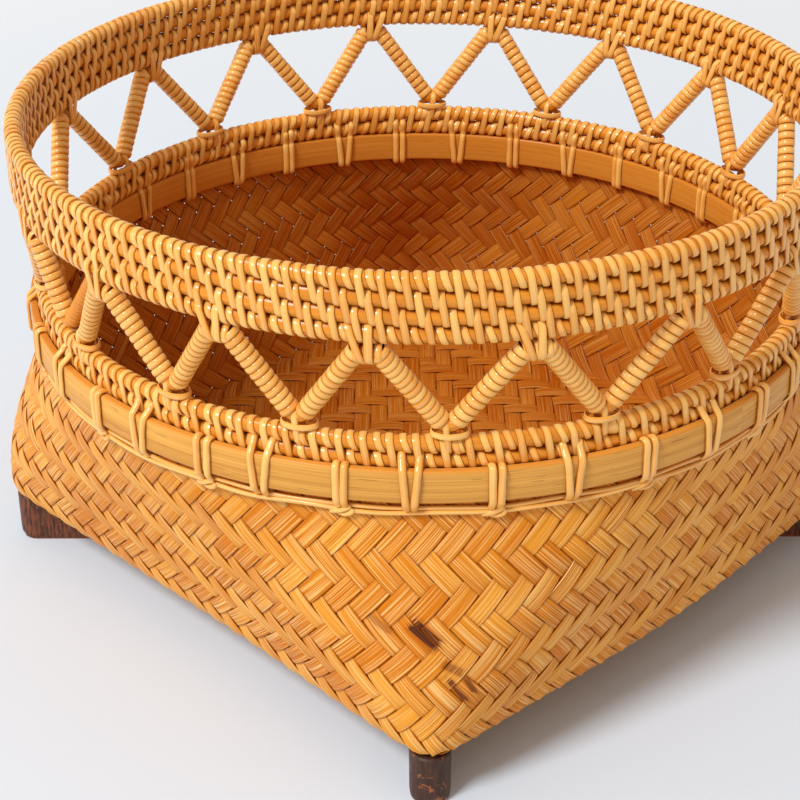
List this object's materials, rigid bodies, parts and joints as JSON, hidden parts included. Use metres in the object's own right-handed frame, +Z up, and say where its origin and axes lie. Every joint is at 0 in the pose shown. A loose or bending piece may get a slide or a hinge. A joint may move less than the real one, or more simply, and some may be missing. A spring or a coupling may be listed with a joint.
{
  "type": "footed basket",
  "caption": "Square-based, round-mouthed twilled bamboo basket with a bound rattan zigzag gallery and rim, on crossed wooden runners.",
  "frame": {"origin": "on the standing surface under the middle of the basket", "axes": "+Z up from the standing surface to the rim, X and Y along the sides of the square base"},
  "size_m": [0.3001, 0.3006, 0.188],
  "materials": {
    "runner_wood": "dark stained, satin",
    "woven_bamboo": "honey stained, satin",
    "hoop_bamboo": "pale, satin",
    "bound_rattan": "glossy varnish",
    "gallery_rattan": "glossy varnish",
    "split_cane": "glossy varnish"
  },
  "bodies": {
    "root": {"runner_lower": "runner_wood", "runner_upper": "runner_wood", "woven_bowl": "woven_bamboo", "inner_hoop": "hoop_bamboo", "outer_hoop": "hoop_bamboo", "collar_rod_01": "bound_rattan", "collar_rod_02": "bound_rattan", "rim_rod_01": "bound_rattan", "rim_rod_02": "bound_rattan", "rim_rod_03": "bound_rattan", "rim_rod_04": "bound_rattan", "gallery_arch_01": "gallery_rattan", "gallery_arch_02": "gallery_rattan", "gallery_arch_03": "gallery_rattan", "gallery_arch_04": "gallery_rattan", "gallery_arch_05": "gallery_rattan", "gallery_arch_06": "gallery_rattan", "gallery_arch_07": "gallery_rattan", "gallery_arch_08": "gallery_rattan", "gallery_arch_09": "gallery_rattan", "gallery_arch_10": "gallery_rattan", "gallery_arch_11": "gallery_rattan", "gallery_arch_12": "gallery_rattan", "gallery_arch_13": "gallery_rattan", "gallery_arch_14": "gallery_rattan", "gallery_arch_15": "gallery_rattan", "gallery_arch_16": "gallery_rattan", "gallery_arch_17": "gallery_rattan", "gallery_arch_18": "gallery_rattan", "hoop_lashing_01": "split_cane", "hoop_lashing_02": "split_cane", "hoop_lashing_03": "split_cane", "hoop_lashing_04": "split_cane", "hoop_lashing_05": "split_cane", "hoop_lashing_06": "split_cane", "hoop_lashing_07": "split_cane", "hoop_lashing_08": "split_cane", "hoop_lashing_09": "split_cane", "hoop_lashing_10": "split_cane", "hoop_lashing_11": "split_cane", "hoop_lashing_12": "split_cane", "hoop_lashing_13": "split_cane", "hoop_lashing_14": "split_cane", "hoop_lashing_15": "split_cane", "hoop_lashing_16": "split_cane", "hoop_lashing_17": "split_cane", "hoop_lashing_18": "split_cane"}
  },
  "joints": []
}
